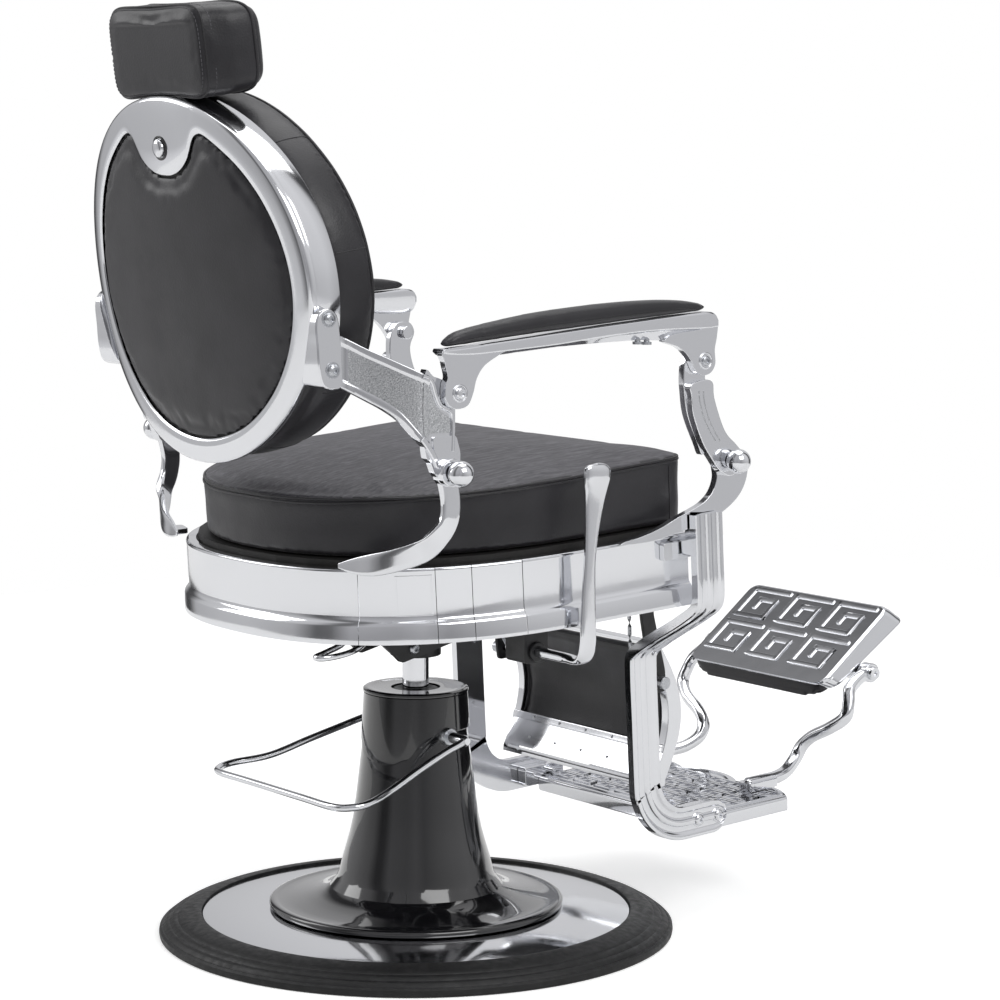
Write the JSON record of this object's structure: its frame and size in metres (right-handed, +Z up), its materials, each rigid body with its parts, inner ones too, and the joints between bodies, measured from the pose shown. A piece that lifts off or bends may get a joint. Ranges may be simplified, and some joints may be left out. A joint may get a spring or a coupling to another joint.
{
  "type": "hydraulic barber chair",
  "caption": "Round-based hydraulic barber chair with a D-shaped seat, reclining round back, linked armrests, height-adjustable headrest and flip-over footrest.",
  "frame": {"origin": "on the floor, on the vertical axis of the pump column", "axes": "+Z up, -Y the way the sitter faces, +X to the sitter's left"},
  "size_m": [0.6976, 1.0882, 1.1573],
  "materials": {
    "chrome": "bright plated",
    "steel": "turned",
    "zinc": "zinc plated",
    "black_gloss": "gloss enamel",
    "black_paint": "satin paint",
    "rubber": "moulded",
    "upholstery": "brushed grey vinyl",
    "upholstery_dark": "grained black vinyl",
    "plywood": "unfinished"
  },
  "bodies": {
    "base": {"base_ring": "rubber", "base_disc": "chrome", "pedestal_cover": "black_gloss", "pump_cylinder": "steel", "pedestal_cap": "black_gloss", "piston_gland": "black_paint", "pedal_bush_right": "zinc", "pedal_bush_left": "zinc"},
    "piston": {"piston": "chrome"},
    "pump_pedal": {"pump_pedal": "chrome"},
    "seat": {"chassis": "black_paint", "seat_apron": "chrome", "apron_side_right": "chrome", "apron_side_left": "chrome", "seat_board": "plywood", "seat_cushion": "upholstery", "rail_right": "chrome", "rail_left": "chrome", "foot_platform": "chrome", "footrest_arm_right": "chrome", "footrest_arm_left": "chrome", "calf_pad": "upholstery_dark", "calf_frame": "chrome", "calf_bar_right": "black_paint", "calf_bar_left": "black_paint", "calf_peg_right": "zinc", "calf_peg_left": "zinc", "front_bracket_right": "chrome", "front_bracket_left": "chrome", "rear_bracket_right": "chrome", "rear_bracket_left": "chrome", "recline_pin_right": "chrome", "recline_pin_left": "chrome", "post_pin_right": "chrome", "post_pin_left": "chrome", "recline_mount": "black_paint"},
    "recline_lever": {"recline_lever": "chrome"},
    "swivel_lock": {"swivel_lock": "chrome"},
    "footplate": {"footplate_tread": "chrome", "footplate_pad": "upholstery_dark"},
    "backrest": {"back_drum": "chrome", "back_panel": "upholstery_dark", "back_board": "plywood", "back_cushion": "upholstery", "back_plate_right": "chrome", "back_plate_left": "chrome", "rear_hinge_pin_right": "chrome", "rear_hinge_pin_left": "chrome", "headrest_socket": "steel"},
    "headrest": {"headrest_pad": "upholstery", "headrest_post": "chrome"},
    "headrest_button": {"headrest_button": "black_paint"},
    "armrest_right": {"arm_frame_right": "chrome", "arm_pad_right": "upholstery_dark"},
    "armrest_left": {"arm_frame_left": "chrome", "arm_pad_left": "upholstery_dark"},
    "post_right": {"arm_post_right": "chrome"},
    "post_left": {"arm_post_left": "chrome"}
  },
  "joints": [
    {"name": "seat_lift", "type": "slide", "parent": "base", "child": "piston", "axis": [0, 0, 1], "range_m": [0, 0.14]},
    {"name": "seat_swivel", "type": "hinge", "parent": "piston", "child": "seat", "pos_m": [0, 0, 0.4], "axis": [0, 0, 1], "continuous": true},
    {"name": "pump_stroke", "type": "hinge", "parent": "base", "child": "pump_pedal", "pos_m": [0, 0, 0.258], "axis": [-1, 0, 0], "range_deg": [0, 25], "stiffness_Nm_per_rad": 3, "springref_deg": -34.38},
    {"name": "recline", "type": "hinge", "parent": "seat", "child": "backrest", "pos_m": [0, 0.175, 0.622], "axis": [-1, 0, 0], "range_deg": [0, 25]},
    {"name": "armrest_right_hinge", "type": "hinge", "parent": "backrest", "child": "armrest_right", "pos_m": [-0.311, 0.167, 0.712], "axis": [-1, 0, 0], "range_deg": [-27.6, 0]},
    {"name": "armrest_left_hinge", "type": "hinge", "parent": "backrest", "child": "armrest_left", "pos_m": [0.311, 0.167, 0.712], "axis": [-1, 0, 0], "range_deg": [-27.6, 0]},
    {"name": "post_right_hinge", "type": "hinge", "parent": "seat", "child": "post_right", "pos_m": [-0.311, -0.242, 0.609], "axis": [-1, 0, 0], "range_deg": [0, 19.1]},
    {"name": "post_left_hinge", "type": "hinge", "parent": "seat", "child": "post_left", "pos_m": [0.311, -0.242, 0.609], "axis": [-1, 0, 0], "range_deg": [0, 19.1]},
    {"name": "recline_release", "type": "hinge", "parent": "seat", "child": "recline_lever", "pos_m": [-0.316, -0.026, 0.382], "axis": [-1, 0, 0], "range_deg": [0, 18], "stiffness_Nm_per_rad": 4, "springref_deg": -34.38},
    {"name": "swivel_lock_turn", "type": "hinge", "parent": "seat", "child": "swivel_lock", "pos_m": [-0.022, 0.12657, 0.43306], "axis": [0, -0.0541, -0.9985], "range_deg": [0, 20]},
    {"name": "footplate_flip", "type": "hinge", "parent": "seat", "child": "footplate", "pos_m": [0, -0.63406, 0.28297], "axis": [-1, 0, 0], "range_deg": [0, 170]},
    {"name": "headrest_height", "type": "slide", "parent": "backrest", "child": "headrest", "axis": [0, 0.2079, 0.9781], "range_m": [0, 0.08]},
    {"name": "headrest_release", "type": "slide", "parent": "backrest", "child": "headrest_button", "axis": [0, -0.9903, 0.1392], "range_m": [0, 0.004], "stiffness_N_per_m": 800, "springref_m": -0.003}
  ],
  "couplings": [
    {"joint": "armrest_right_hinge", "follows": "recline", "ratio": -1.1009},
    {"joint": "armrest_left_hinge", "follows": "recline", "ratio": -1.1009},
    {"joint": "post_right_hinge", "follows": "recline", "ratio": 0.76},
    {"joint": "post_left_hinge", "follows": "recline", "ratio": 0.76}
  ]
}
